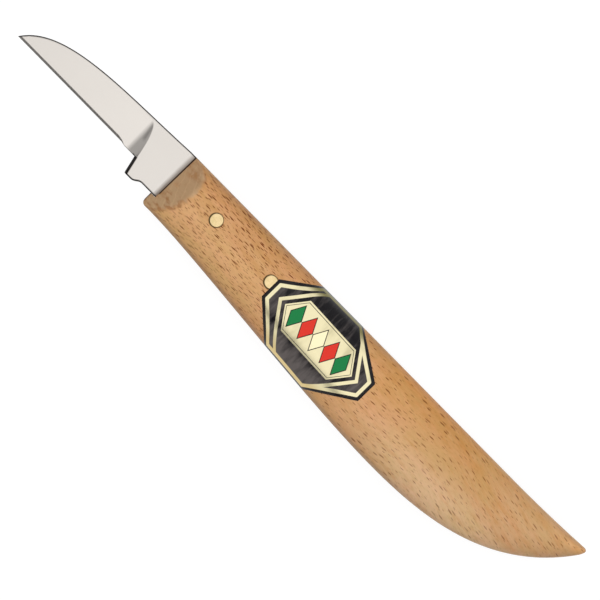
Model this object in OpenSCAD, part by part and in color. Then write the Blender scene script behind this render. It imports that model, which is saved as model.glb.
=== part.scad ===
// Wood carving knife with a fixed blade.
// A flat-ground steel blade runs back as a tang into a sawn slot in a one-piece beech handle.
// Two brass rivets cross the handle and the tang, and a foil label is glued over one cheek.
// The knife lies on its lower cheek: +X runs from the point of the blade to the butt, +Y towards
// the back of the knife and +Z up through the labelled cheek. The origin is on the surface that
// it lies on, under the middle of its box.
// Inside, shapes are drawn from the front of the handle: X is the distance behind that front,
// Y is minus the depth below the straight back line and Z is measured from the mid-plane.

/* [Handle] */
// Length of the handle from its front to the tip of the butt
handle_length = 131.8; // [118:0.2:150]
// Thickness of the handle across its two flat cheeks
handle_thickness = 14; // [11:0.5:18]
// Height of the handle just behind its front
front_height = 16.75; // [15.6:0.05:19]
// Height of the handle at its deepest point
belly_height = 21.6; // [19.5:0.05:25]
// Distance of the deepest point behind the front
belly_at = 81.8; // [72:0.2:92]
// Hollow of the belly behind the front, where its curve would sag without it
waist_hollow = 0.8; // [0:0.1:1.5]
// Reach of that hollow behind the front
waist_reach = 12.8; // [8:0.2:20]
// Reach of the deepest point's level ahead of it
swell_reach = 24.8; // [16:0.2:34]
// Reach of the deepest point's level behind it
butt_swell_reach = 18.9; // [10:0.1:24]
// Distance ahead of the butt's tip where the belly starts to sweep up to it
butt_sweep_reach = 12; // [8:0.1:16]
// Depth of the belly where that sweep starts
butt_sweep_depth = 18.8; // [15:0.1:19.4]
// Rise of the back at the butt, above its straight line
tail_rise = 0.8; // [0.2:0.1:1.2]
// Length of the back over which it rises
tail_length = 24; // [14:1:34]
// Height of the butt's blunt tip
tip_height = 1.5; // [1.5:0.1:3]
// Rounding of the butt's tip
tip_round = 0.7; // [0.3:0.05:0.7]

/* [Section of the handle] */
// Depth of the rounding along the back
back_round = 5.3; // [3:0.1:6]
// Fullness of that rounding, where 2 is an ellipse
back_fullness = 2.25; // [2:0.05:3.5]
// Depth of the elliptical rounding along the belly
belly_round = 9; // [6:0.1:9.4]
// Depth of that rounding at the front, where the section is an oval
front_round = 12; // [8:0.5:13]
// Distance behind the front over which it gets as deep as along the belly
front_round_reach = 36; // [20:1:60]

/* [Nose of the handle] */
// Angle between each nose bevel and the mid-plane
nose_angle = 42; // [36:0.5:60]
// Width of the front edge left between the two nose bevels
nose_land = 0.2; // [0.2:0.05:1.5]
// Rounding of the lower front corner
nose_corner = 1.3; // [0.5:0.1:2.5]

/* [Blade] */
// Length of the blade in front of the handle
blade_length = 48.2; // [36:0.2:64]
// Thickness of the blade's steel
blade_thickness = 3; // [2:0.1:3.4]
// Depth of the cutting edge below the back line
edge_drop = 9.95; // [8:0.05:12]
// Distance behind the point that sets how steeply the spine rises from it
point_run = 6.5; // [4:0.1:10]
// Height above the back line that the point's rise aims at
point_lift = 0.2; // [0:0.05:1]
// Distance ahead of the handle over which the spine runs on straight
spine_run = 20.5; // [12:0.5:26]
// Depth that this straight run falls by
spine_dip = 1.25; // [0.5:0.05:2]

/* [Heel of the blade] */
// Distance from the handle to the top of the step in the edge
choil_at = 8.75; // [7:0.05:12]
// Lean of the step's face, forward at its top
choil_lean = 13.5; // [5:0.5:22]
// Depth of the heel below the back line
heel_drop = 14.6; // [14.2:0.05:17]
// Rounding of the heel's front corner
heel_corner = 0.3; // [0.3:0.1:1]
// Length of the heel's straight underside
heel_land = 1.9; // [1.2:0.1:2.5]
// Length of the curve from the heel up to the tang
heel_curve = 3; // [1.5:0.1:3.4]
// Chamfer along both rims of the step's face
choil_chamfer = 0.6; // [0.2:0.05:0.8]

/* [Grind] */
// Depth below the back line at which the flat grind starts
grind_drop = 1.2; // [0.8:0.1:3]
// Radius of the wheel that ends the flat grind
grind_radius = 6; // [3:0.5:12]
// Distance behind the top of the step at which that wheel leaves the steel
grind_overrun = 0.75; // [0.2:0.05:1]
// Steel left below the edge line where the edge is not sharpened
edge_stock = 0.25; // [0.15:0.05:0.3]
// Width of the sharpening bevel
bevel_width = 0.6; // [0.4:0.05:1]
// Thickness of the blade at the shoulder of the sharpening bevel
shoulder_thickness = 0.4; // [0.3:0.02:0.5]
// Distance ahead of the step at which the sharpening bevel has run out
bevel_stop = 3.4; // [2:0.1:8]
// Length over which the sharpening bevel runs out
bevel_fade = 2.4; // [0.6:0.1:3]

/* [Tang and slot] */
// Length of the tang inside the handle
tang_length = 41.5; // [38.5:0.5:60]
// Depth of the tang's lower edge below the back line
tang_depth = 13.45; // [11.5:0.05:14]
// Distance that the tang's upper edge lies below the back of the handle
tang_inset = 0.02; // [0:0.01:0.2]
// Rounding of the tang's rear lower corner
tang_corner = 5; // [1:0.5:8]
// Room on each side of the tang in its slot
slot_side_clearance = 0.05; // [0.02:0.01:0.15]
// Room under the tang and behind it
slot_end_clearance = 0.05; // [0.05:0.05:0.6]

/* [Rivets] */
// Diameter of the two rivets
rivet_diameter = 3.2; // [2.5:0.1:4.5]
// Distance of the front rivet behind the handle's front
front_rivet_at = 15.9; // [12:0.1:18]
// Depth of the front rivet below the back line
front_rivet_depth = 6.95; // [6:0.05:8]
// Distance of the rear rivet behind the handle's front
rear_rivet_at = 35; // [28:0.1:36]
// Depth of the rear rivet below the back line
rear_rivet_depth = 8; // [6:0.1:9]
// Chamfer on the rivets' ends
rivet_chamfer = 0.12; // [0.05:0.01:0.3]
// Room round each rivet in the handle and the tang
rivet_clearance = 0.02; // [0.01:0.01:0.06]

/* [Label] */
// Length of the label along the handle
label_length = 33; // [24:0.2:44]
// Distance of the label's middle behind the handle's front
label_at = 52.3; // [46:0.1:70]
// Width of the label's two ends
label_end_width = 5.6; // [3:0.1:10]
// Depth of those ends below the back, as a share of the handle's height
label_end_level = 0.48; // [0.42:0.01:0.58]
// Length of the label's wide middle
label_middle = 13.5; // [4:0.5:20]
// Distance that this wide middle lies ahead of the middle of the label's length
label_middle_lead = 1.35; // [0:0.05:3]
// Distance that the middle's edges stay inside the handle's outline, seen from above
label_margin = 0.3; // [0.3:0.05:3]
// Thickness of the label
label_thickness = 0.15; // [0.1:0.01:0.3]

/* [Hidden] */

// Share of the handle's height that stays flat where the roundings would meet
flat_share = 0.04;

// Steps of the curves and of the handle's rings
curve_steps = 48;
spine_steps = 28;
corner_steps = 6;
ring_count = 46;
back_steps = 8;
belly_steps = 10;
$fn = 64;

// Room by which cutting shapes reach past what they cut
cut_over = 2;

half_thickness = handle_thickness / 2;
half_blade = blade_thickness / 2;

function bezier(p, t) =
    let (u = 1 - t)
    u * u * u * p[0] + 3 * u * u * t * p[1] + 3 * u * t * t * p[2] + t * t * t * p[3];

function curve(p, steps) = [for (i = [0:steps]) bezier(p, i / steps)];

function unit(v) = v / norm(v);

function short_turn(angle) = angle > 180 ? angle - 360 : angle < -180 ? angle + 360 : angle;

// Arc of radius r that rounds the corner b between the sides to a and to c
function fillet(a, b, c, r) =
    let (
        u = unit(a - b),
        v = unit(c - b),
        half = acos(u * v) / 2,
        middle = b + unit(u + v) * r / sin(half),
        first = b + u * r / tan(half) - middle,
        last = b + v * r / tan(half) - middle,
        start = atan2(first.y, first.x),
        sweep = short_turn(atan2(last.y, last.x) - start)
    )
    [for (i = [0:corner_steps])
        let (angle = start + sweep * i / corner_steps)
        middle + r * [cos(angle), sin(angle)]];

// Height lost to a rounding of radius r at a distance from the end that it rounds
function round_loss(distance, r) =
    distance >= r ? 0 : r - sqrt(max(0, r * r - (r - distance) * (r - distance)));

// Belly of the handle, as depth below the back line
butt_depth = tip_height - tail_rise;
belly_front = curve(
    [
        [0, front_height],
        [waist_reach, front_height - waist_hollow],
        [belly_at - swell_reach, belly_height],
        [belly_at, belly_height]
    ],
    curve_steps
);
belly_rear = curve(
    [
        [belly_at, belly_height],
        [belly_at + butt_swell_reach, belly_height],
        [handle_length - butt_sweep_reach, butt_sweep_depth],
        [handle_length, butt_depth]
    ],
    curve_steps
);
belly_curve = concat(belly_front, belly_rear);

function belly_depth(x) =
    lookup(x, belly_curve) - round_loss(x, nose_corner) - round_loss(handle_length - x, tip_round);

function belly_slope(x) =
    let (a = max(0, x - 0.5), b = min(handle_length, x + 0.5))
    atan((lookup(b, belly_curve) - lookup(a, belly_curve)) / (b - a));

// Back of the handle, as depth below the back line: straight, then rising to the butt
function back_depth(x) =
    let (along = max(0, x - handle_length + tail_length) / tail_length)
    round_loss(handle_length - x, tip_round) - tail_rise * along * along;

// Depth of the belly's rounding, which lessens behind the front
function round_depth(x) = lookup(x, [[0, front_round], [front_round_reach, belly_round]]);

// Section of the handle at x, grown outwards: two roundings with a flat between them.
// Towards the butt the roundings shrink with the height and the section gets thinner.
function section(x, grow) =
    let (
        back = back_depth(x),
        belly = belly_depth(x),
        belly_full = round_depth(x) / cos(belly_slope(x)),
        share = min(1, (belly - back) * (1 - flat_share) / (back_round + belly_full)),
        half = half_thickness * sqrt(1 - (1 - share) * (1 - share)) + grow,
        back_axis = back_round * share + grow,
        belly_axis = belly_full * share + grow,
        power = 2 / back_fullness,
        upper = concat(
            [for (i = [0:back_steps])
                let (angle = 90 * i / back_steps)
                [-back + grow - back_axis * (1 - pow(cos(angle), power)), half * pow(sin(angle), power)]],
            [for (i = [belly_steps:-1:0])
                let (angle = 90 * i / belly_steps)
                [-belly - grow + belly_axis * (1 - cos(angle)), half * sin(angle)]]
        ),
        last = len(upper) - 1
    )
    concat(upper, [for (i = [last - 1:-1:1]) [upper[i][0], -upper[i][1]]]);

// Rings stand closer together at the nose and the butt, where the form turns quickly
ring_places = [for (i = [0:ring_count]) handle_length * (1 - cos(180 * i / ring_count)) / 2];

function rings_between(from, to) = [for (x = ring_places) if (x > from && x < to) x];

// Solid through the handle's sections at the given places
module handle_form(places, grow) {
    rings = [for (x = places) section(x, grow)];
    around = len(rings[0]);
    end = (len(rings) - 1) * around;
    points = [for (i = [0:len(rings) - 1]) for (p = rings[i]) [places[i], p[0], p[1]]];
    skin = [
        for (i = [0:len(rings) - 2])
            for (j = [0:around - 1])
                let (a = i * around + j, b = i * around + (j + 1) % around)
                each [[a, a + around, b + around], [a, b + around, b]]
    ];
    front_cap = [for (j = [0:around - 1]) j];
    butt_cap = [for (j = [around - 1:-1:0]) end + j];
    polyhedron(points = points, faces = concat(skin, [front_cap], [butt_cap]));
}

// Place of the knife: on its lower cheek, centred on the origin
back_top = max([for (x = ring_places) -back_depth(x)]);
belly_bottom = max([for (x = ring_places) belly_depth(x)]);
front_x = (blade_length - handle_length) / 2;
back_y = (belly_bottom - back_top) / 2;

module in_place() {
    translate([front_x, back_y, half_thickness]) children();
}

// Both nose bevels, which leave a narrow land at the front
module nose_cuts() {
    rise = handle_thickness;
    run = rise / tan(nose_angle);
    for (side = [0, 1])
        mirror([0, 0, side])
            rotate([90, 0, 0])
                translate([0, 0, -cut_over])
                    linear_extrude(front_height + 2 * cut_over)
                        polygon([
                            [-cut_over, nose_land / 2 - cut_over * tan(nose_angle)],
                            [run, nose_land / 2 + rise],
                            [-cut_over, nose_land / 2 + rise]
                        ]);
}

// Outline of the tang's slot, open at the front and at the back
module slot_outline() {
    bottom = -tang_depth - slot_end_clearance;
    rear = tang_length + slot_end_clearance;
    top = cut_over;
    polygon(concat(
        [[-cut_over, top], [rear, top]],
        fillet([rear, top], [rear, bottom], [-cut_over, bottom], tang_corner),
        [[-cut_over, bottom]]
    ));
}

module rivet_hole(at, depth) {
    translate([at, -depth, -half_thickness - cut_over])
        cylinder(d = rivet_diameter + 2 * rivet_clearance, h = handle_thickness + 2 * cut_over);
}

module rivet_holes() {
    rivet_hole(front_rivet_at, front_rivet_depth);
    rivet_hole(rear_rivet_at, rear_rivet_depth);
}

// Rivet with both ends dressed flush with the cheeks
module rivet(at, depth) {
    radius = rivet_diameter / 2;
    face = radius - rivet_chamfer;
    shoulder = half_thickness - rivet_chamfer;
    translate([at, -depth, 0])
        rotate_extrude()
            polygon([
                [0, -half_thickness],
                [face, -half_thickness],
                [radius, -shoulder],
                [radius, shoulder],
                [face, half_thickness],
                [0, half_thickness]
            ]);
}

// Key points of the blade's outline
point = [-blade_length, -edge_drop];
point_aim = [point_run - blade_length, point_lift];
blank_drop = edge_drop + edge_stock;
blank_point = point + (point - point_aim) * edge_stock / (edge_drop + point_lift);
choil_top = [-choil_at, -blank_drop];
choil_foot = [(heel_drop - blank_drop) * tan(choil_lean) - choil_at, -heel_drop];
heel_rear = [choil_foot.x + heel_land, -heel_drop];
tang_front = [heel_rear.x + heel_curve, -tang_depth];

// Outline of the blade and its tang, with the steel that the grinding takes off its edge
module blade_outline() {
    spine = curve(
        [point, point_aim, [-spine_run, -spine_dip], [0, -tang_inset]],
        spine_steps
    );
    tang_rear = [tang_length, -tang_depth];
    tang_top = [tang_length, -tang_inset];
    heel = curve(
        [
            tang_front,
            [heel_rear.x + heel_curve / 2, -tang_depth],
            [heel_rear.x + heel_curve / 2, -heel_drop],
            heel_rear
        ],
        corner_steps * 2
    );
    polygon(concat(
        [blank_point],
        spine,
        [tang_top],
        fillet(tang_top, tang_rear, tang_front, tang_corner),
        heel,
        fillet(heel_rear, choil_foot, choil_top, heel_corner),
        [choil_top]
    ));
}

// Prism on each side of the blade over a sloping face that runs through two levels, which are
// depths below the back line with the half thickness left there. The prism's profile lies along
// the blade, with Y up from the sloping face.
module on_both_slopes(upper_drop, upper_half, lower_drop, lower_half) {
    slope = atan((upper_half - lower_half) / (lower_drop - upper_drop));
    for (side = [0, 1])
        mirror([0, 0, side])
            translate([0, -upper_drop, upper_half])
                rotate([90 + slope, 0, 0])
                    translate([0, 0, -upper_drop - cut_over])
                        linear_extrude(heel_drop + 2 * cut_over)
                            children();
}

// Shoulder between the flat grind and the sharpening bevel, and how steep these two are
shoulder_drop = edge_drop - bevel_width;
half_shoulder = shoulder_thickness / 2;
grind_slope = (half_blade - half_shoulder) / (shoulder_drop - grind_drop);
bevel_slope = half_shoulder / bevel_width;

// Flat grind from the upper level to the shoulder of the bevel, ended by the wheel's round
module flat_grind() {
    cut_depth = grind_slope * (blank_drop - grind_drop);
    run_out = sqrt(cut_depth * (2 * grind_radius - cut_depth));
    stop = grind_overrun - choil_at - run_out;
    start = -blade_length - 2 * cut_over;
    on_both_slopes(grind_drop, half_blade, shoulder_drop, half_shoulder) {
        translate([start, 0]) square([stop - start, grind_radius]);
        translate([stop, grind_radius]) circle(r = grind_radius);
    }
}

// Sharpening bevel, which rises out of the flat grind ahead of the step
module sharpening() {
    rise = 1.1 * (bevel_slope - grind_slope) * (bevel_width + edge_stock) * cos(atan(bevel_slope));
    end = -choil_at - bevel_stop;
    start = -blade_length - 2 * cut_over;
    on_both_slopes(shoulder_drop, half_shoulder, edge_drop, 0)
        polygon([
            [start, 0],
            [end - bevel_fade, 0],
            [end, rise],
            [end, cut_over],
            [start, cut_over]
        ]);
}

// Chamfers along both rims of the step's leaning face
module choil_chamfers() {
    face_length = (heel_drop - blank_drop) / cos(choil_lean);
    for (side = [0, 1])
        mirror([0, 0, side])
            translate([choil_top.x, choil_top.y, half_blade])
                rotate([90, 0, choil_lean])
                    linear_extrude(face_length + cut_over)
                        polygon([
                            [-cut_over, -choil_chamfer - cut_over],
                            [choil_chamfer + cut_over, cut_over],
                            [-cut_over, cut_over]
                        ]);
}

module blade() {
    color([0.86, 0.85, 0.82])
        in_place()
            difference() {
                translate([0, 0, -half_blade])
                    linear_extrude(blade_thickness)
                        blade_outline();
                flat_grind();
                sharpening();
                choil_chamfers();
                rivet_holes();
            }
}

module handle() {
    slot_width = blade_thickness + 2 * slot_side_clearance;
    color([0.80, 0.60, 0.40])
        in_place()
            difference() {
                handle_form(ring_places, 0);
                nose_cuts();
                translate([0, 0, -slot_width / 2])
                    linear_extrude(slot_width)
                        slot_outline();
                rivet_holes();
            }
}

module front_rivet() {
    color([0.85, 0.70, 0.36])
        in_place()
            rivet(front_rivet_at, front_rivet_depth);
}

module rear_rivet() {
    color([0.85, 0.70, 0.36])
        in_place()
            rivet(rear_rivet_at, rear_rivet_depth);
}

// Depth of the middle of a label's end
function end_level(x) = back_depth(x) + label_end_level * (belly_depth(x) - back_depth(x));

// Eight-sided outline of the label, seen from above
module label_outline() {
    front = label_at - label_length / 2;
    rear = label_at + label_length / 2;
    wide_front = label_at - label_middle_lead - label_middle / 2;
    wide_rear = label_at - label_middle_lead + label_middle / 2;
    half_end = label_end_width / 2;
    front_level = end_level(front);
    rear_level = end_level(rear);
    polygon([
        [front, half_end - front_level],
        [wide_front, -back_depth(wide_front) - label_margin],
        [wide_rear, -back_depth(wide_rear) - label_margin],
        [rear, half_end - rear_level],
        [rear, -half_end - rear_level],
        [wide_rear, label_margin - belly_depth(wide_rear)],
        [wide_front, label_margin - belly_depth(wide_front)],
        [front, -half_end - front_level]
    ]);
}

module label() {
    spare = 12;
    from = label_at - label_length / 2 - spare;
    to = label_at + label_length / 2 + spare;
    color([0.10, 0.09, 0.09])
        in_place()
            difference() {
                intersection() {
                    handle_form(rings_between(from + spare / 2, to - spare / 2), label_thickness);
                    linear_extrude(handle_thickness) label_outline();
                }
                handle_form(rings_between(from, to), 0);
            }
}

blade();
handle();
front_rivet();
rear_rivet();
label();
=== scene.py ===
"""Looks of a fixed-blade wood carving knife, laid out as a small Blender add-on.

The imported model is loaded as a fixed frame. Each operator builds one piece, or a group of like
pieces, over its solid: the beech handle, the flat-ground blade, the two brass rivets and the foil
label. The last operator sets the floor, the lamps and the camera.

Shapes are drawn from the front of the handle: x is the distance behind that front, depth is
measured down from the straight back line, and z is the distance off the mid-plane. Materials use
the same places in millimetres, under the names behind, drop and aside.
"""

import math
from functools import partial, partialmethod, reduce

import bmesh
import bpy
import numpy as np
from bpy.props import FloatProperty, FloatVectorProperty, PointerProperty
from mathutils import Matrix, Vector


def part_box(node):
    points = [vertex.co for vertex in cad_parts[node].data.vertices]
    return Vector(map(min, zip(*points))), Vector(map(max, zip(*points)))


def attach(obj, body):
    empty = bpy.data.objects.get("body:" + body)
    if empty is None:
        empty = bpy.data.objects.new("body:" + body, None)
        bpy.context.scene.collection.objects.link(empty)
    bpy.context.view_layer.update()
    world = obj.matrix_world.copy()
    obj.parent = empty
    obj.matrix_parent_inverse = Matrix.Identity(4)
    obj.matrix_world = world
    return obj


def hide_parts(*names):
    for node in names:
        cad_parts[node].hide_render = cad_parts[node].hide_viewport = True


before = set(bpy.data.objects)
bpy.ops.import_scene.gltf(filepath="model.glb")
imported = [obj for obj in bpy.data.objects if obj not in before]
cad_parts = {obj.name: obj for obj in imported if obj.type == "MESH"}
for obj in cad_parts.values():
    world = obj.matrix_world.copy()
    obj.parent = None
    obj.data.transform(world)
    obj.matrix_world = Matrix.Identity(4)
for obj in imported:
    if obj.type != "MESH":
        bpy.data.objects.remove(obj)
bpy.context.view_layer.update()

bl_info = {
    "name": "Wood Carving Knife",
    "version": (1, 0, 0),
    "blender": (4, 5, 0),
    "location": "3D View > Sidebar > Carving Knife",
    "description": "Builds a fixed-blade wood carving knife over its packed solids",
    "category": "Add Mesh",
}

MM = 0.001
BODY = "root"

# Places of the solids, which give the sizes that the pieces share with them
handle_low, handle_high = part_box("handle")
blade_low, blade_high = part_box("blade")
front_rivet_low, front_rivet_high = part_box("front_rivet")
rear_rivet_low, rear_rivet_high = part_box("rear_rivet")
label_low, label_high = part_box("label")

# Depth of the tang's upper edge below the back of the handle
TANG_INSET = 0.02 * MM

# Front of the handle, on its back line and its mid-plane
ORIGIN = Vector((
    handle_low.x,
    blade_high.y + TANG_INSET,
    (handle_low.z + handle_high.z) / 2,
))

# Curves of the handle's outline
WAIST_HOLLOW, WAIST_REACH = 0.8 * MM, 12.8 * MM
SWELL_REACH, BUTT_SWELL_REACH = 24.8 * MM, 18.9 * MM
BUTT_SWEEP_REACH, BUTT_SWEEP_DEPTH = 12 * MM, 18.8 * MM
TAIL_RISE, TAIL_LENGTH = 0.8 * MM, 24 * MM
TIP_HEIGHT, TIP_ROUND = 1.5 * MM, 0.7 * MM
NOSE_CORNER = 1.3 * MM

# Section of the handle
BACK_FULLNESS = 2.25
FLAT_SHARE = 0.04
FRONT_ROUND, FRONT_ROUND_REACH = 12 * MM, 36 * MM
NOSE_EASING = 0.6 * MM
SLOPE_REACH = 0.5 * MM

# Outline of the blade, which runs on a little way into the handle at its full height
POINT_RUN, POINT_LIFT = 6.5 * MM, 0.2 * MM
SPINE_RUN, SPINE_DIP = 20.5 * MM, 1.25 * MM
CHOIL_AT, CHOIL_LEAN = 8.75 * MM, math.radians(13.5)
HEEL_DROP, HEEL_CORNER = 14.6 * MM, 0.3 * MM
HEEL_LAND, HEEL_CURVE = 1.9 * MM, 3 * MM
TANG_DEPTH, TANG_CORNER = 13.45 * MM, 5 * MM
RUN_ON = 4 * MM

# Grind of the blade
GRIND_OVERRUN, EDGE_STOCK = 0.75 * MM, 0.25 * MM
SHOULDER_HALF = 0.2 * MM
BEVEL_STOP, BEVEL_FADE, STOCK_RISE = 3.4 * MM, 3.2 * MM, 1.5 * MM
SPINE_EASING, CHOIL_EASING, HEEL_EASING = 0.3 * MM, 0.75 * MM, 0.42 * MM
RIM_ANGLE, CHOIL_ANGLE = math.radians(38), math.radians(14)
GRIND_LIMIT = 2 * MM
EASING_END, EASED_LEAST = (1.4 * MM, 2.4 * MM), 0.3

# Steel painted dark as painted reflection, and made rougher: how far it is full and where it ends,
# in from each rim, and above the step's end
SPINE_PAINTED_DARK, STEP_PAINTED_DARK = (0.2 * MM, 0.34 * MM), (0.72 * MM, 0.95 * MM)
HEEL_PAINTED_DARK, EDGE_PAINTED_DARK = (0.26 * MM, 0.42 * MM), (0.06 * MM, 0.2 * MM)
STEP_FADE = (0.38 * MM, 0.22 * MM)

# Depth of the label's ends below the back, as a share of the handle's height, how much wider its
# printed border is where it bends round the handle, and how thin the foil is at its rim
LABEL_LEVEL, BORDER_SPREAD = 0.48, 1.6
RIM_SHARE, RIM_WIDTH = 0.3, 0.15 * MM

# Room of the tang in its slot, how far the slot's cutter stands out of the wood, and room of the
# rivets in their holes, in the wood and in the steel
SLOT_SIDE, SLOT_END, SLOT_REACH = 0.05 * MM, 0.05 * MM, 3 * MM
WOOD_ROOM, STEEL_ROOM = 0.04 * MM, 0.01 * MM

# Fineness of the meshes
CURVE_STEPS, SPINE_STEPS, HEEL_STEPS, CORNER_STEPS = 240, 300, 24, 14
BACK_STEPS, BELLY_STEPS, CHEEK_STEPS = 25, 27, 11
BLADE_STEPS, RIM_ROOM = 48, 1.6 * MM
RIM_STEPS = np.array([0.0, 0.1, 0.2, 0.3, 0.45, 0.6]) * MM
LABEL_COLUMNS, LABEL_TRACE = 84, 600
WELD = 1e-7

# Flecks of the beech: size of their cells in millimetres, least and greatest share of a cell that
# they fill, and their strength ahead of the label and behind it
FLECKS = (
    ((3.0, 0.46, 1.0), 0.13, 0.39, 1.0, 0.0),
    ((3.8, 0.74, 1.0), 0.12, 0.3, 0.0, 1.0),
    ((2.2, 0.38, 1.0), 0.08, 0.28, 0.8, 0.6),
)
FLECK_CHANGE, FLECK_FADE = (46.0, 58.0), (40.0, 70.0)

# Dark ring round a rivet in millimetres: where it fades, and how far its middle is set off from the
# rivet's, ahead and towards the belly, so that painted shade widens it there
RING_FADE, RING_SHADE_SHIFT = (1.66, 1.94), 0.08

# Print of the label in millimetres: the gold border, the pointed band with its inked line, the
# chevrons beyond the band and the lozenges on it
BORDER, CHEVRON, INKED = (0.82, 1.68), (12.5, 13.5), (0.42, 0.58)
BAND_HALF_WIDTH, BAND_POINT, POINT_SLOPE = 4.9, 11.4, 0.75
LOZENGE_PITCH, LOZENGE_HALF_LENGTH, LOZENGE_HALF_WIDTH = 3.8, 1.9, 3.6

# Lamps by name: place and side in metres, and brightness
LAMPS = {
    "wide_fill": ((0.0, -0.25, 1.5), 2.0, 0.84),
    "back_fill": ((0.0, 1.3, 0.9), 1.2, 1.8),
    "belly_fill": ((0.0, -1.3, 0.9), 1.2, 0.95),
}
FLOOR_GLOW = 0.88

# Place of the camera over the floor, and the width of its sensor in millimetres
CAMERA_X, CAMERA_Y, SENSOR_WIDTH = 0.85 * MM, 4.28 * MM, 36.0


# Settings

def distance(name, description, metres):
    """Length that a user can set."""
    return FloatProperty(
        name=name, description=description, default=metres, min=0.0, precision=5, unit="LENGTH"
    )


def tint(name, description, rgb):
    """Colour that a user can set."""
    return FloatVectorProperty(
        name=name, description=description, default=rgb, min=0.0, max=1.0, size=3, subtype="COLOR"
    )


class HandleSettings(bpy.types.PropertyGroup):
    """Sizes and colours of the beech handle."""

    length: distance(
        "Length", "From the front of the handle to the tip of its butt",
        handle_high.x - handle_low.x,
    )
    thickness: distance(
        "Thickness", "Across the two flat cheeks", handle_high.z - handle_low.z
    )
    front_height: distance("Front Height", "Height just behind the front", 16.75 * MM)
    belly_height: distance("Belly Height", "Height at the deepest point", 21.6 * MM)
    belly_at: distance("Belly Place", "From the front to the deepest point", 81.8 * MM)
    back_round: distance("Back Rounding", "Depth of the rounding along the back", 5.3 * MM)
    belly_round: distance("Belly Rounding", "Depth of the rounding along the belly", 9 * MM)
    nose_land: distance("Nose Land", "Width left between the two nose bevels", 0.2 * MM)
    nose_angle: FloatProperty(
        name="Nose Angle", description="Angle between each nose bevel and the mid-plane",
        default=math.radians(42.0), min=0.0, subtype="ANGLE",
    )
    warm_wood: tint("Warm Wood", "Most of the beech", (0.63, 0.347, 0.157))
    deep_wood: tint("Deep Wood", "Darker, more orange streaks", (0.545, 0.268, 0.094))
    butt_wood: tint("Butt Wood", "Greyer wood towards the butt", (0.575, 0.345, 0.165))
    pale_wood: tint("Pale Wood", "Lighter wood along the belly near the butt", (0.69, 0.455, 0.255))
    fleck: tint("Flecks", "Short dark ray flecks", (0.15, 0.028, 0.001))
    end_grain: tint("End Grain", "Wood cut across on the nose bevels", (0.455, 0.3, 0.165))


class BladeSettings(bpy.types.PropertyGroup):
    """Sizes and colours of the blade."""

    length: distance(
        "Length", "From the point to the handle", handle_low.x - blade_low.x
    )
    thickness: distance("Thickness", "Of the steel", blade_high.z - blade_low.z)
    edge_drop: distance("Edge Depth", "From the back line to the cutting edge", 9.95 * MM)
    grind_drop: distance("Grind Depth", "From the back line to the start of the grind", 1.2 * MM)
    grind_radius: distance("Wheel Radius", "Of the round that ends the flat grind", 6 * MM)
    bevel_width: distance("Bevel Width", "Of the sharpening bevel", 0.6 * MM)
    tang_length: distance("Tang Length", "Inside the handle", blade_high.x - handle_low.x)
    steel: tint("Steel", "Polished steel", (0.83, 0.79, 0.745))
    # Painted reflection: this colour paints the rims of the steel dark
    painted_dark_steel: tint("Dull Steel", "Unpolished rims of the steel", (0.014, 0.012, 0.011))
    # A darker, browner strip on the steel just in front of the wood
    strip_by_wood: tint("Film", "Dull oil film beside the wood", (0.25, 0.20, 0.165))


class RivetSettings(bpy.types.PropertyGroup):
    """Sizes and colours of the two rivets."""

    diameter: distance(
        "Diameter", "Of both rivets", front_rivet_high.x - front_rivet_low.x
    )
    edge_round: distance("Edge Rounding", "Round the ends", 0.12 * MM)
    crown: distance("Crown", "Rise of the middle of each end", 0.015 * MM)
    brass: tint("Brass", "Sanded brass", (0.98, 0.765, 0.425))
    tarnish: tint("Tarnish", "Duller patches", (0.84, 0.64, 0.315))


class LabelSettings(bpy.types.PropertyGroup):
    """Sizes and colours of the foil label."""

    length: distance("Length", "Along the handle", label_high.x - label_low.x)
    end_width: distance("End Width", "Of the two narrow ends", 5.6 * MM)
    middle: distance("Middle", "Length of the wide middle", 13.5 * MM)
    lead: distance("Lead", "Of the wide middle ahead of the middle of the length", 1.35 * MM)
    margin: distance("Margin", "From the wide edges to the outline of the handle", 0.1 * MM)
    thickness: distance("Thickness", "Of the foil", 0.15 * MM)
    field: tint("Field", "Black field", (0.004, 0.003, 0.0045))
    # Painted sheen: greyer parts of the field that stand for reflections in the black foil
    painted_sheen: tint("Sheen", "Greyer parts of the field", (0.12, 0.103, 0.098))
    gold: tint("Gold", "Gold foil", (1.0, 0.91, 0.58))
    # Painted reflection: the two gold colours below darken the gold where the foil turns to the
    # back, in bands, and towards olive where it turns to the belly
    painted_shade_gold: tint("Rubbed Gold", "Gold foil round the back and in bands", (0.2, 0.18, 0.07))
    painted_belly_gold: tint("Warm Gold", "Gold foil round the belly", (0.66, 0.5, 0.22))
    red: tint("Red", "Red lozenges", (0.72, 0.03, 0.015))
    green: tint("Green", "Green lozenges", (0.003, 0.20, 0.05))


class StageSettings(bpy.types.PropertyGroup):
    """Camera, lamps and floor."""

    camera_height: distance("Camera Height", "Above the floor", 478 * MM)
    lens: FloatProperty(
        name="Lens", description="Focal length in millimetres", default=120.0, min=1.0
    )
    turn: FloatProperty(
        name="Turn", description="Turn of the camera about its line of sight",
        default=math.radians(45.5), subtype="ANGLE",
    )
    floor_size: distance("Floor Size", "Side of the square floor", 8.0)
    floor: tint("Floor", "Pale floor", (0.17, 0.17, 0.17))


class KnifeSettings(bpy.types.PropertyGroup):
    """All settings of the knife and its stage."""

    handle: PointerProperty(type=HandleSettings)
    blade: PointerProperty(type=BladeSettings)
    rivets: PointerProperty(type=RivetSettings)
    label: PointerProperty(type=LabelSettings)
    stage: PointerProperty(type=StageSettings)


# Curves and forms

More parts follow.
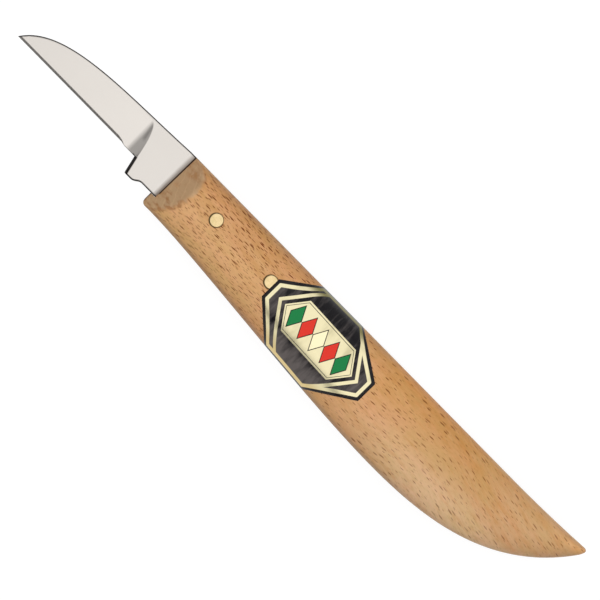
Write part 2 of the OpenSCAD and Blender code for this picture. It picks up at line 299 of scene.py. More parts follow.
def bezier(points, steps):
    """Points along a cubic Bezier curve."""
    p = np.asarray(points, float)
    t = np.linspace(0.0, 1.0, steps + 1)[:, None]
    u = 1.0 - t
    return u**3 * p[0] + 3 * u * u * t * p[1] + 3 * u * t * t * p[2] + t**3 * p[3]


def stations(start, *spans):
    """Places along the knife from a start: each span has a stop and a spacing of its places."""
    places = []
    for stop, gap in spans:
        count = max(1, round((stop - start) / gap))
        places.append(np.linspace(start, stop, count, endpoint=False))
        start = stop
    return np.concatenate([*places, [start]])


def round_loss(reach, radius):
    """Height that a rounding takes off, at a distance from the end that it rounds."""
    inside = np.clip(radius - reach, 0.0, radius)
    return radius - np.sqrt(radius**2 - inside**2)


def smooth_step(value, low, high):
    """Soft step from 0 to 1."""
    t = np.clip((value - low) / (high - low), 0.0, 1.0)
    return t * t * (3 - 2 * t)


def smooth_fall(value, low, high):
    """Soft step from 1 to 0."""
    return 1 - smooth_step(value, low, high)


def soft_least(a, b, easing):
    """Lesser of two heights, with the crease between them eased."""
    share = np.clip(0.5 + 0.5 * (b - a) / easing, 0.0, 1.0)
    return b * (1 - share) + a * share - easing * share * (1 - share)


def outline_distance(points, outline, scales=None):
    """Distance of flat points from an open outline, times each segment's own scale."""
    least = np.full(len(points), np.inf)
    for i in range(len(outline) - 1):
        a, b = outline[i], outline[i + 1]
        along = b - a
        t = np.clip((points - a) @ along / max(along @ along, 1e-18), 0.0, 1.0)
        reach = np.linalg.norm(points - (a + t[:, None] * along), axis=1)
        least = np.minimum(least, reach * (1.0 if scales is None else scales[i]))
    return least


class HandleForm:
    """Outer form of the handle."""

    def __init__(self, wood):
        self.wood = wood
        deepest = (wood.belly_at, wood.belly_height)
        front = bezier([
            (0.0, wood.front_height),
            (WAIST_REACH, wood.front_height - WAIST_HOLLOW),
            (wood.belly_at - SWELL_REACH, wood.belly_height),
            deepest,
        ], CURVE_STEPS)
        rear = bezier([
            deepest,
            (wood.belly_at + BUTT_SWELL_REACH, wood.belly_height),
            (wood.length - BUTT_SWEEP_REACH, BUTT_SWEEP_DEPTH),
            (wood.length, TIP_HEIGHT - TAIL_RISE),
        ], CURVE_STEPS)
        self.curve = np.vstack([front, rear[1:]])

    def belly_curve(self, x):
        """Depth of the belly before its ends are rounded."""
        return np.interp(x, self.curve[:, 0], self.curve[:, 1])

    def belly(self, x):
        """Depth of the belly."""
        lost = round_loss(x, NOSE_CORNER) + round_loss(self.wood.length - x, TIP_ROUND)
        return self.belly_curve(x) - lost

    def back(self, x):
        """Depth of the back: straight, then rising to the butt."""
        along = np.maximum(0.0, x - self.wood.length + TAIL_LENGTH) / TAIL_LENGTH
        return round_loss(self.wood.length - x, TIP_ROUND) - TAIL_RISE * along**2

    def section(self, x):
        """Back, belly, half thickness and the depths of both roundings at x."""
        wood = self.wood
        ahead = np.maximum(0.0, x - SLOPE_REACH)
        behind = np.minimum(wood.length, x + SLOPE_REACH)
        rise = (self.belly_curve(behind) - self.belly_curve(ahead)) / (behind - ahead)
        rounding = np.interp(x, [0.0, FRONT_ROUND_REACH], [FRONT_ROUND, wood.belly_round])
        belly_full = rounding * np.sqrt(1 + rise**2)
        back, belly = self.back(x), self.belly(x)
        room = (belly - back) * (1 - FLAT_SHARE)
        share = np.minimum(1.0, room / (wood.back_round + belly_full))
        half = wood.thickness / 2 * np.sqrt(1 - (1 - share) ** 2)
        return back, belly, half, wood.back_round * share, belly_full * share

    def half_at(self, x, depth):
        """Half thickness at a place and a depth."""
        back, belly, half, back_axis, belly_axis = self.section(x)
        below = np.clip(1 - (depth - back) / back_axis, 0.0, 1.0)
        above = np.clip(1 - (belly - depth) / belly_axis, 0.0, 1.0)
        upper = (1 - below**BACK_FULLNESS) ** (1 / BACK_FULLNESS)
        return half * np.minimum(upper, np.sqrt(1 - above**2))

    def nose_limit(self, x):
        """Half thickness that the nose bevels leave."""
        return self.wood.nose_land / 2 + x * math.tan(self.wood.nose_angle)


# Meshes

def in_place(x, depth, z):
    """Points of the knife's frame from places on the drawing."""
    flat = np.broadcast_arrays(x, depth, z)
    points = np.stack([flat[0], -flat[1], flat[2]], axis=-1).reshape(-1, 3)
    return points + np.array(ORIGIN)


def grid_faces(rows, columns, first=0, closed=False):
    """Quads of a grid of points, stored row by row, closed across its columns if asked."""
    i, j = np.meshgrid(
        np.arange(rows - 1), np.arange(columns if closed else columns - 1), indexing="ij"
    )
    after = (j + 1) % columns
    quads = np.stack(
        [i * columns + j, i * columns + after, (i + 1) * columns + after, (i + 1) * columns + j],
        axis=-1,
    )
    return (quads.reshape(-1, 4) + first).tolist()


def shell_faces(rows, columns, closed):
    """Quads of two like grids, joined along their rims, on the first row only if closed."""
    one_side = rows * columns
    rim = [
        *range(0, one_side, columns),
        *range(one_side - columns + 1, one_side),
        *range(one_side - columns - 1, 0, -columns),
    ]
    if closed:
        rim += range(columns - 2, -1, -1)
    joint = [[a, b, b + one_side, a + one_side] for a, b in zip(rim, rim[1:])]
    return grid_faces(rows, columns) + grid_faces(rows, columns, first=one_side) + joint


def new_piece(name, points, faces, weld=0.0):
    """Object of a new mesh with its faces turned outwards."""
    mesh = bpy.data.meshes.new(name)
    mesh.from_pydata(np.asarray(points).tolist(), [], faces)
    work = bmesh.new()
    work.from_mesh(mesh)
    if weld:
        bmesh.ops.remove_doubles(work, verts=work.verts, dist=weld)
        bmesh.ops.dissolve_degenerate(work, edges=work.edges, dist=weld)
    bmesh.ops.recalc_face_normals(work, faces=work.faces)
    work.to_mesh(mesh)
    work.free()
    piece = bpy.data.objects.new(name, mesh)
    bpy.context.scene.collection.objects.link(piece)
    return piece


def mark(mesh, name, values):
    """Number on each point that a material reads."""
    layer = mesh.attributes.new(name, "FLOAT", "POINT")
    layer.data.foreach_set("value", values.astype(np.float32))


def cut_away(piece, cutter):
    """Takes the cutter's shape out of the piece and removes the cutter."""
    change = piece.modifiers.new("Cut", "BOOLEAN")
    change.operation, change.solver, change.object = "DIFFERENCE", "EXACT", cutter
    graph = bpy.context.evaluated_depsgraph_get()
    shaped = bpy.data.meshes.new_from_object(piece.evaluated_get(graph))
    piece.modifiers.clear()
    whole, piece.data = piece.data, shaped
    shaped.name = piece.name
    bpy.data.meshes.remove(whole)
    bpy.data.objects.remove(cutter)
    if not shaped.polygons:
        raise RuntimeError(f"nothing is left of {piece.name} after a cut")


def finish_piece(piece, material, nodes, sharp=35.0):
    """Shades a piece, gives it its material and ties it to the frame."""
    mesh = piece.data
    mesh.polygons.foreach_set("use_smooth", [True] * len(mesh.polygons))
    mesh.set_sharp_from_angle(angle=math.radians(sharp))
    mesh.materials.clear()
    mesh.materials.append(material)
    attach(piece, BODY)
    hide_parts(*nodes)


def rivet_places():
    """Place and depth of both rivets."""
    middles = [
        (front_rivet_low + front_rivet_high) / 2 - ORIGIN,
        (rear_rivet_low + rear_rivet_high) / 2 - ORIGIN,
    ]
    return [(middle.x, -middle.y) for middle in middles]


def turned(name, at, depth, profile, around=72):
    """Turned piece that stands across the knife, from a profile of radius and height."""
    angle = np.linspace(0.0, 2 * math.pi, around, endpoint=False)
    radius, height = np.asarray(profile, float).T
    points = in_place(
        at + radius[:, None] * np.cos(angle),
        depth + radius[:, None] * np.sin(angle),
        height[:, None],
    )
    return new_piece(name, points, grid_faces(len(radius), around, closed=True), weld=WELD)


def drill(piece, knife, room):
    """Cuts both rivet holes through a piece, with some room round the rivets."""
    radius, half = knife.rivets.diameter / 2 + room, knife.handle.thickness
    bar = [(0, half), (radius, half), (radius, -half), (0, -half)]
    for at, depth in rivet_places():
        cut_away(piece, turned("rivet_cutter", at, depth, bar))


def rivet_profile(rivet, half):
    """Radius and height of a rivet with crowned ends and rounded edges."""
    radius, edge = rivet.diameter / 2, rivet.edge_round
    angle = np.linspace(0.0, math.pi / 2, 6)
    across = np.linspace(0.0, radius - edge, 7)[:-1]
    crown = half + rivet.crown * (1 - (across / radius) ** 2)
    rounded = radius - edge + edge * np.sin(angle), half - edge + edge * np.cos(angle)
    end = np.vstack([np.stack([across, crown], axis=1), np.stack(rounded, axis=1)])
    return np.vstack([end, end[::-1] * (1, -1)])


def slot_cutter(steel, reach):
    """Plate that cuts the tang's slot, open at the front and at the back of the handle."""
    rear, bottom = steel.tang_length + SLOT_END, TANG_DEPTH + SLOT_END
    angle = np.linspace(0.0, math.pi / 2, 12)
    corner_x = rear - TANG_CORNER + TANG_CORNER * np.cos(angle)
    corner_depth = bottom - TANG_CORNER + TANG_CORNER * np.sin(angle)
    x = np.concatenate([[-reach, rear], corner_x, [-reach]])
    depth = np.concatenate([[-reach, -reach], corner_depth, [bottom]])
    half = steel.thickness / 2 + SLOT_SIDE
    count = len(x)
    points = np.vstack([in_place(x, depth, half), in_place(x, depth, -half)])
    faces = [list(range(count)), list(range(2 * count - 1, count - 1, -1))]
    faces += [[i, i + count, (i + 1) % count + count, (i + 1) % count] for i in range(count)]
    return new_piece("slot_cutter", points, faces)


def handle_mesh(wood):
    """Points and faces of the handle's whole form, with its nose bevels."""
    form = HandleForm(wood)
    x = stations(
        0.0,
        (9 * MM, 0.15 * MM),
        (108 * MM, 1.2 * MM),
        (wood.length - 2 * MM, 0.5 * MM),
        (wood.length - 0.4 * MM, 0.12 * MM),
        (wood.length, 0.04 * MM),
    )[:, None]
    back, belly, half, back_axis, belly_axis = form.section(x)
    power = 2 / BACK_FULLNESS
    upper = np.linspace(0.0, math.pi / 2, BACK_STEPS)
    lower = np.linspace(math.pi / 2, 0.0, BELLY_STEPS)
    across = np.linspace(0.0, 1.0, CHEEK_STEPS)[1:-1]
    upper_depth = back + back_axis * (1 - np.cos(upper).clip(0) ** power)
    lower_depth = belly - belly_axis * (1 - np.cos(lower))
    flat_depth = upper_depth[:, -1:] * (1 - across) + lower_depth[:, :1] * across
    depth = np.hstack([upper_depth, flat_depth, lower_depth])
    z = np.hstack([
        half * np.sin(upper) ** power,
        half * np.ones_like(flat_depth),
        half * np.sin(lower),
    ])
    limit = form.nose_limit(x)
    z = np.maximum(0.0, soft_least(z, limit, np.minimum(NOSE_EASING, limit)))
    z[:, 0] = z[:, -1] = 0.0
    depth = np.hstack([depth, depth[:, -2:0:-1]])
    z = np.hstack([z, -z[:, -2:0:-1]])
    rows, around = z.shape
    faces = grid_faces(rows, around, closed=True)
    last = (rows - 1) * around
    faces += [list(range(around)), list(range(last + around - 1, last - 1, -1))]
    return in_place(x, depth, z), faces


class BladeForm:
    """Outline of the blade and its tang, and the grind that thins it."""

    def __init__(self, steel):
        self.steel = steel
        self.plate = steel.thickness / 2
        self.blank_drop = steel.edge_drop + EDGE_STOCK
        self.shoulder_drop = steel.edge_drop - steel.bevel_width
        self.steepness = (self.plate - SHOULDER_HALF) / (self.shoulder_drop - steel.grind_drop)
        self.grind_stop = GRIND_OVERRUN - CHOIL_AT - self.run_out(self.blank_drop)
        self.bevel_end = -CHOIL_AT - BEVEL_STOP
        self.spine = bezier([
            (-steel.length, steel.edge_drop),
            (POINT_RUN - steel.length, -POINT_LIFT),
            (-SPINE_RUN, SPINE_DIP),
            (0.0, TANG_INSET),
        ], SPINE_STEPS)
        self.spine = np.vstack([self.spine, [(RUN_ON, TANG_INSET)]])
        self.foot = -CHOIL_AT + (HEEL_DROP - self.blank_drop) * math.tan(CHOIL_LEAN)
        self.step = self.step_outline()

    def step_outline(self):
        """Step in the edge, heel and curve up to the tang, as places and depths."""
        half_turn = (math.pi / 2 + CHOIL_LEAN) / 2
        reach = HEEL_CORNER / math.tan(half_turn)
        middle = np.array([self.foot + reach, HEEL_DROP - HEEL_CORNER])
        angle = np.linspace(math.pi - CHOIL_LEAN, math.pi / 2, CORNER_STEPS)[:, None]
        turn = middle + HEEL_CORNER * np.hstack([np.cos(angle), np.sin(angle)])
        rear = self.foot + HEEL_LAND
        curve = bezier([
            (rear, HEEL_DROP),
            (rear + HEEL_CURVE / 2, HEEL_DROP),
            (rear + HEEL_CURVE / 2, TANG_DEPTH),
            (rear + HEEL_CURVE, TANG_DEPTH),
        ], HEEL_STEPS)
        return np.vstack([[(-CHOIL_AT, self.blank_drop)], turn, curve, [(RUN_ON, TANG_DEPTH)]])

    def run_out(self, depth):
        """Length of the wheel's round at a depth."""
        cut = self.steepness * np.maximum(0.0, depth - self.steel.grind_drop)
        return np.sqrt(cut * np.maximum(0.0, 2 * self.steel.grind_radius - cut))

    def upper(self, x):
        """Depth of the spine and of the tang's upper edge."""
        return np.interp(x, self.spine[:, 0], self.spine[:, 1])

    def plane(self, depth):
        """Half thickness left by the flat grind alone."""
        return self.plate - self.steepness * (depth - self.steel.grind_drop)

    def lower(self, x):
        """Depth of the edge, the step, the heel and the tang's lower edge."""
        stock = EDGE_STOCK * smooth_step(x, self.bevel_end - STOCK_RISE, self.bevel_end)
        edge = self.steel.edge_drop + stock
        step = np.interp(x, self.step[:, 0], self.step[:, 1])
        corner = round_loss(self.steel.tang_length - x, TANG_CORNER)
        return np.where(x < -CHOIL_AT, edge, step - corner)

    def half(self, x, depth):
        """Half thickness left by the flat grind and the sharpening bevel."""
        steel = self.steel
        run = np.clip(x - self.grind_stop, 0.0, steel.grind_radius)
        wheel = steel.grind_radius - np.sqrt(steel.grind_radius**2 - run**2)
        ground = self.plane(depth) + wheel * math.sqrt(1 + self.steepness**2)
        ground = np.where(x < -CHOIL_AT + GRIND_LIMIT, ground, self.plate)
        fade = np.clip((x - self.bevel_end + BEVEL_FADE) / BEVEL_FADE, 0.0, 1.0)
        top = self.shoulder_drop + (steel.bevel_width + EDGE_STOCK) * fade**2
        edge = self.lower(x)
        edge_half = self.plane(edge) * fade**1.5
        slope = (self.plane(top) - edge_half) / np.maximum(edge - top, 0.01 * MM)
        bevel = edge_half + (edge - depth) * np.maximum(slope, self.steepness)
        bevel = np.where(x < self.bevel_end, bevel, self.plate)
        return np.maximum(0.0, np.minimum(self.plate, np.minimum(ground, bevel)))

    def below_edge(self, depth):
        """Mask of the steel that lies deeper than the edge."""
        return smooth_step(depth, *(self.blank_drop - rise for rise in STEP_FADE))

    def eased(self, x, depth, half):
        """Half thickness with the rims of spine, step and heel eased."""
        places = np.stack([x, depth], axis=-1).reshape(-1, 2)
        rims = [
            (self.spine, SPINE_EASING, RIM_ANGLE),
            (self.step[:4], CHOIL_EASING, CHOIL_ANGLE),
            (self.step[3:], HEEL_EASING, RIM_ANGLE),
        ]
        lost = np.zeros(len(places))
        for rim, easing, angle in rims:
            reach = outline_distance(places, rim)
            if angle == CHOIL_ANGLE:
                reach += easing * (1 - self.below_edge(places[:, 1]))
            lost = np.maximum(lost, math.tan(angle) * np.maximum(0.0, easing - reach))
        lost = lost.reshape(half.shape) * smooth_fall(x, *EASING_END)
        return np.maximum(half - lost, EASED_LEAST * half)


def mark_rims(mesh, form):
    """Marks steel that is painted dark as painted reflection and made rougher: rims, the end of the
    edge and a streak where the wheel ran out.
    """
    places = np.empty(3 * len(mesh.vertices))
    mesh.vertices.foreach_get("co", places)
    places = places.reshape(-1, 3) - np.array(ORIGIN)
    x, depth = places[:, 0], -places[:, 1]
    flat = np.stack([x, depth], axis=-1)
    spine = smooth_fall(outline_distance(flat, form.spine), *SPINE_PAINTED_DARK)
    step = smooth_fall(outline_distance(flat, form.step[:8]), *STEP_PAINTED_DARK)
    step *= form.below_edge(depth)
    heel_end = form.foot + HEEL_LAND
    width = np.interp(x, [heel_end, heel_end + HEEL_CURVE], [1.0, 0.9])
    heel = smooth_fall(outline_distance(flat, form.step[4:]) / width, *HEEL_PAINTED_DARK)
    edge = 0.6 * smooth_fall(form.lower(x) - depth, *EDGE_PAINTED_DARK)
    edge *= smooth_step(x, form.bevel_end - 1 * MM, form.bevel_end) * (x < -CHOIL_AT)
    run = x - form.grind_stop
    streak = smooth_fall(np.abs(run - 0.75 * MM - 0.19 * depth), 0.0, 0.8 * MM)
    streak *= smooth_step(depth, 1.3 * MM, 2.2 * MM) * smooth_fall(depth, 5.2 * MM, 6.6 * MM)
    streak *= 0.36 * smooth_fall(run - form.run_out(depth), -0.05 * MM, 0.02 * MM)
    mark(mesh, "painted_dark_rims", np.max([spine, step, heel, edge, streak], axis=0))


def blade_mesh(form):
    """Points and faces of the blade with its tang."""
    length, tang = form.steel.length, form.steel.tang_length
    x = stations(
        -length,
        (1 * MM - length, 0.08 * MM),
        (-16.5 * MM, 0.5 * MM),
        (-6.6 * MM, 0.06 * MM),
        (2.7 * MM, 0.15 * MM),
        (tang - TANG_CORNER, 1.2 * MM),
        (tang, 0.3 * MM),
    )[:, None]
    upper, lower = form.upper(x), form.lower(x)
    scale = np.minimum(1.0, (lower - upper) / RIM_ROOM)
    share = np.linspace(0.0, 1.0, BLADE_STEPS)[1:-1]
    first, last = lower - scale * RIM_STEPS, upper + scale * RIM_STEPS[::-1]
    between = first[:, -1:] * (1 - share) + last[:, :1] * share
    depth = np.hstack([first, between, last])
    x = np.broadcast_to(x, depth.shape)
    half = form.eased(x, depth, form.half(x, depth))
    points = np.vstack([in_place(x, depth, half), in_place(x, depth, -half)])
    return points, shell_faces(*half.shape, closed=False)


def label_grid(foil, form):
    """Grid of the label on the handle: places, depths, unrolled widths and its middle place."""
    middle = (label_low.x + label_high.x) / 2 - ORIGIN.x
    front, rear = middle - foil.length / 2, middle + foil.length / 2
    wide_front = middle - foil.lead - foil.middle / 2
    wide_rear = middle - foil.lead + foil.middle / 2
    x = stations(front, (wide_front, 0.25 * MM), (wide_rear, 0.3 * MM), (rear, 0.25 * MM))
    corners = np.array([front, wide_front, wide_rear, rear])
    back, belly = form.back(corners), form.belly(corners)
    level, half_end = back + LABEL_LEVEL * (belly - back), foil.end_width / 2
    is_wide = np.array([False, True, True, False])
    upper = np.interp(x, corners, np.where(is_wide, back + foil.margin, level - half_end))
    lower = np.interp(x, corners, np.where(is_wide, belly - foil.margin, level + half_end))
    share = (1 - np.cos(np.linspace(0.0, math.pi, LABEL_TRACE))) / 2
    even = np.linspace(0.0, 1.0, LABEL_COLUMNS)
    depth, width = np.empty((2, len(x), LABEL_COLUMNS))
    for i, place in enumerate(x):
        trace = upper[i] + (lower[i] - upper[i]) * share
        height = form.half_at(place, trace)
        run = np.concatenate([[0.0], np.cumsum(np.hypot(np.diff(trace), np.diff(height)))])
        back, belly = form.back(place), form.belly(place)
        centre = np.interp(back + LABEL_LEVEL * (belly - back), trace, run)
        depth[i] = np.interp(even * run[-1], run, trace)
        width[i] = even * run[-1] - centre
    return x, depth, width, middle


def label_piece(foil, form):
    """Thin shell over the cheek, with its unrolled place and its distance from the rim."""
    x, depth, width, middle = label_grid(foil, form)
    rows, columns = depth.shape
    along = np.broadcast_to(x[:, None], depth.shape)
    skin = in_place(along, depth, form.half_at(along, depth)).reshape(rows, columns, 3)
    normal = np.cross(np.gradient(skin, axis=1), np.gradient(skin, axis=0))
    normal /= np.linalg.norm(normal, axis=2, keepdims=True)
    normal *= np.sign(normal[..., 2:3])

    flat = np.stack([along - middle, width], axis=-1)
    ring = np.vstack([flat[:, 0], flat[-1, 1:], flat[-2::-1, -1], flat[0, -2::-1]])
    flat = flat.reshape(-1, 2)
    rim = outline_distance(flat, ring).reshape(rows, columns)
    bends = np.abs((ring[1:, 0] + ring[:-1, 0]) / 2 + foil.lead) < foil.middle / 2
    border = outline_distance(flat, ring, np.where(bends, 1 / BORDER_SPREAD, 1.0))
    rise = foil.thickness * (RIM_SHARE + (1 - RIM_SHARE) * smooth_step(rim, 0.0, RIM_WIDTH))
    outer = skin + normal * rise[..., None]
    points = np.vstack([outer.reshape(-1, 3), skin.reshape(-1, 3)])
    piece = new_piece("foil_label", points, shell_faces(rows, columns, closed=True))

    mesh = piece.data
    mark(mesh, "border_distance", np.tile(border / MM, 2))
    unrolled = np.tile(flat / foil.length + 0.5, (2, 1))
    corners = np.empty(len(mesh.loops), np.int32)
    mesh.loops.foreach_get("vertex_index", corners)
    sheet = mesh.uv_layers.new(name="Unrolled")
    sheet.uv.foreach_set("vector", unrolled[corners].astype(np.float32).ravel())
    return piece


# Shader nodes

class Nodes:
    """Builder of the nodes in one node tree."""

    def __init__(self, tree):
        self.tree = tree

    def fill(self, inputs, values):
        """Links or sets inputs by their name or number."""
        for key, value in values.items():
            if isinstance(value, bpy.types.NodeSocket):
                self.tree.links.new(value, inputs[key])
            else:
                inputs[key].default_value = value

    def add(self, kind, inputs=None, **settings):
        """New node with its settings and inputs."""
        node = self.tree.nodes.new(kind)
        for name, value in settings.items():
            setattr(node, name, value)
        self.fill(node.inputs, inputs or {})
        return node

    def maths(self, operation, *values, clamp=False):
        """Result of a Math node."""
        inputs = dict(enumerate(values))
        return self.add("ShaderNodeMath", inputs, operation=operation, use_clamp=clamp).outputs[0]

    def fold(self, operation, *values):
        """Result of Math nodes over two or more values, from the first to the last."""
        return reduce(partial(self.maths, operation), values)

    # A line is a value times a slope from a start, rest is what a share leaves of 1, and clipped
    # is a sum kept between 0 and 1
    times = partialmethod(fold, "MULTIPLY")
    plus = partialmethod(fold, "ADD")
    most = partialmethod(fold, "MAXIMUM")
    minus = partialmethod(maths, "SUBTRACT")
    rest = partialmethod(maths, "SUBTRACT", 1.0)
    absolute = partialmethod(maths, "ABSOLUTE")
    line = partialmethod(maths, "MULTIPLY_ADD")
    clipped = partialmethod(maths, "ADD", clamp=True)

    def vectors(self, operation, *values):
        """Result of a Vector Math node."""
        inputs = dict(enumerate(values))
        node = self.add("ShaderNodeVectorMath", inputs, operation=operation)
        return node.outputs["Value" if operation == "LENGTH" else "Vector"]

    def scaled(self, vector, factor):
        """Vector times a number."""
        node = self.add("ShaderNodeVectorMath", {0: vector, "Scale": factor}, operation="SCALE")
        return node.outputs["Vector"]

    def parts(self, vector):
        """X, Y and Z of a vector."""
        return self.add("ShaderNodeSeparateXYZ", {0: vector}).outputs

    def vector(self, x, y, z=0.0):
        """Vector of three numbers."""
        return self.add("ShaderNodeCombineXYZ", {0: x, 1: y, 2: z}).outputs[0]

    def step(self, value, low, high, start=0.0, stop=1.0):
        """Soft step of a value between two limits."""
        inputs = {0: value, 1: low, 2: high, 3: start, 4: stop}
        node = self.add("ShaderNodeMapRange", inputs, interpolation_type="SMOOTHSTEP")
        return node.outputs[0]

    def fall(self, value, low, high):
        """Soft step from 1 to 0."""
        return self.step(value, low, high, 1.0, 0.0)

    def between(self, value, low, high, soft=0.06):
        """Mask of a value between two limits."""
        rise = self.step(value, low - soft, low + soft)
        return self.times(rise, self.fall(value, high - soft, high + soft))

    def blend(self, share, first, second, mode="MIX"):
        """Mix of two colours."""
        inputs = {0: share, 6: first, 7: second}
        for key in (6, 7):
            if not isinstance(inputs[key], bpy.types.NodeSocket):
                inputs[key] = (*inputs[key], 1.0)
        return self.add("ShaderNodeMix", inputs, data_type="RGBA", blend_type=mode).outputs[2]

    def noise(self, vector, detail=2.0, rough=0.5):
        """Noise value about 0.5."""
        inputs = {"Vector": vector, "Scale": 1.0, "Detail": detail, "Roughness": rough}
        return self.add("ShaderNodeTexNoise", inputs).outputs[0]

    def streaks(self, vector, size, contrast=1.0):
        """Streaks about 0, of a size in millimetres."""
        inputs = {"Vector": vector, "Size": size, "Contrast": contrast}
        return self.add("ShaderNodeGroup", inputs, node_tree=streaks_group()).outputs[0]

    def flecks(self, vector, size, least, most):
        """Mask of flecks."""
        inputs = {"Vector": vector, "Size": size, "Least": least, "Most": most}
        return self.add("ShaderNodeGroup", inputs, node_tree=flecks_group()).outputs[0]

    def attribute(self, name):
        """Number that the mesh has on its points."""
        return self.add("ShaderNodeAttribute", attribute_name=name).outputs["Fac"]

    def place(self):
        """Place on the piece in millimetres."""
        return self.scaled(self.add("ShaderNodeTexCoord").outputs["Object"], 1 / MM)

    def facing(self):
        """X, Y and Z of the direction that the surface faces."""
        return self.parts(self.add("ShaderNodeTexCoord").outputs["Normal"])

    def behind_and_drop(self, place):
        """Distances behind the front of the handle and below its back line."""
        x, y, _ = self.parts(place)
        return self.minus(x, ORIGIN.x / MM), self.minus(ORIGIN.y / MM, y)

    def bump(self, height, distance_mm, strength=1.0):
        """Normal of a bumpy surface."""
        inputs = {"Height": height, "Distance": distance_mm * MM, "Strength": strength}
        return self.add("ShaderNodeBump", inputs).outputs[0]


def shared_group(name, inputs, output, build):
    """Shader node group with one output, built when it is first asked for."""
    group = bpy.data.node_groups.get(name)
    if group:
        return group
    group = bpy.data.node_groups.new(name, "ShaderNodeTree")
    for label, kind, value in inputs:
        socket = group.interface.new_socket(label, in_out="INPUT", socket_type=kind)
        socket.default_value = value
    group.interface.new_socket(output, in_out="OUTPUT", socket_type="NodeSocketFloat")
    nodes = Nodes(group)
    given = nodes.add("NodeGroupInput").outputs
    nodes.add("NodeGroupOutput", {output: build(nodes, given)})
    return group


def streaks_group():
    """Long soft streaks: wood fibre, polishing lines and sanding marks."""

    def build(nodes, given):
        stretched = nodes.vectors("DIVIDE", given["Vector"], given["Size"])
        value = nodes.noise(stretched, detail=3.0, rough=0.55)
        return nodes.times(nodes.minus(value, 0.5), given["Contrast"])

    inputs = [
        ("Vector", "NodeSocketVector", (0, 0, 0)),
        ("Size", "NodeSocketVector", (10, 1, 1)),
        ("Contrast", "NodeSocketFloat", 1.0),
    ]
    return shared_group("Streaks", inputs, "Value", build)


def flecks_group():
    """Short pointed flecks of random size, one in each cell of a slanted and stretched grid."""

    def build(nodes, given):
        stretched = nodes.vectors("DIVIDE", given["Vector"], given["Size"])
        along, across, through = nodes.parts(stretched)
        slanted = nodes.vector(nodes.line(across, -0.35, along), across, through)
        cells = nodes.add(
            "ShaderNodeTexVoronoi", voronoi_dimensions="2D", distance="MINKOWSKI"
        )
        nodes.fill(
            cells.inputs, {"Vector": slanted, "Scale": 1.0, "Exponent": 1.4, "Randomness": 0.9}
        )
        chance = nodes.parts(cells.outputs["Color"])
        spread = nodes.minus(given["Most"], given["Least"])
        radius = nodes.line(nodes.maths("POWER", chance[0], 1.5), spread, given["Least"])
        mask = nodes.fall(cells.outputs["Distance"], nodes.times(radius, 0.5), radius)
        return nodes.times(mask, nodes.line(chance[1], 0.6, 0.4))

    inputs = [
        ("Vector", "NodeSocketVector", (0, 0, 0)),
        ("Size", "NodeSocketVector", (5, 1, 1)),
        ("Least", "NodeSocketFloat", 0.08),
        ("Most", "NodeSocketFloat", 0.2),
    ]
    return shared_group("Flecks", inputs, "Mask", build)


def cleared_nodes(holder):
    """Builder for the emptied node tree of a material or a world."""
    holder.use_nodes = True
    holder.node_tree.nodes.clear()
    return Nodes(holder.node_tree)


def new_material(name):
    """Material with a Principled shader, the builder of its nodes and the shader's inputs."""
    material = bpy.data.materials.new(name)
    nodes = cleared_nodes(material)
    shader = nodes.add("ShaderNodeBsdfPrincipled")
    nodes.add("ShaderNodeOutputMaterial", {"Surface": shader.outputs[0]})
    return material, nodes, shader.inputs


# Materials

def grain_flow(nodes, place, behind):
    """Places along and across the grain on the cheeks, and along and through it on the edges."""
    _, y, z = nodes.parts(place)
    wide = nodes.noise(nodes.vectors("DIVIDE", place, (38.0, 14.0, 14.0)))
    close = nodes.noise(nodes.vectors("DIVIDE", place, (7.0, 3.0, 5.0)))
    rear = nodes.maths("SMOOTH_MAX", nodes.minus(behind, 92.0), 0.0, 12.0)
    across = y
    for bend, amount in ((behind, 0.045), (rear, 0.15), (wide, 2.6), (close, 0.35)):
        across = nodes.line(bend, amount, across)
    return nodes.vector(behind, across, z), nodes.vector(behind, nodes.line(wide, 2.0, z), y)


def wood_flecks(nodes, cheeks, edges, flat, behind):
    """Masks of strong and of fine flecks, laid flat on the cheeks and on the two edges."""
    masks = []
    for size, least, most, ahead, rear in FLECKS:
        on_cheek = nodes.times(nodes.flecks(cheeks, size, least, most), flat)
        on_edge = nodes.times(nodes.flecks(edges, size, least, most), nodes.rest(flat))
        strength = nodes.step(behind, *FLECK_CHANGE, ahead, rear)
        masks.append(nodes.times(nodes.plus(on_cheek, on_edge), strength))
    slender, stout, fine = masks
    return nodes.plus(slender, stout), fine


def joint_darkening(nodes, behind, drop, aside):
    """Dark wood along the joint with the tang and along the front of the nose."""
    slanted = nodes.line(drop, 0.011, behind)
    beside = nodes.times(
        nodes.fall(slanted, 1.9, 2.1), nodes.fall(aside, 2.2, 2.6), nodes.fall(drop, 11.9, 12.8)
    )
    return nodes.most(beside, nodes.step(behind, 0.1, 0.35, 0.85, 0.0))


def rivet_ring_and_shade(nodes, behind, drop, at, depth):
    """Dark ring in the wood round a rivet, with painted shade that makes it widest towards the
    belly's edge.
    """
    along = nodes.minus(behind, at / MM - RING_SHADE_SHIFT)
    across = nodes.minus(drop, depth / MM + RING_SHADE_SHIFT)
    reach = nodes.vectors("LENGTH", nodes.vector(along, across))
    return nodes.step(reach, *RING_FADE, 0.95, 0.0)


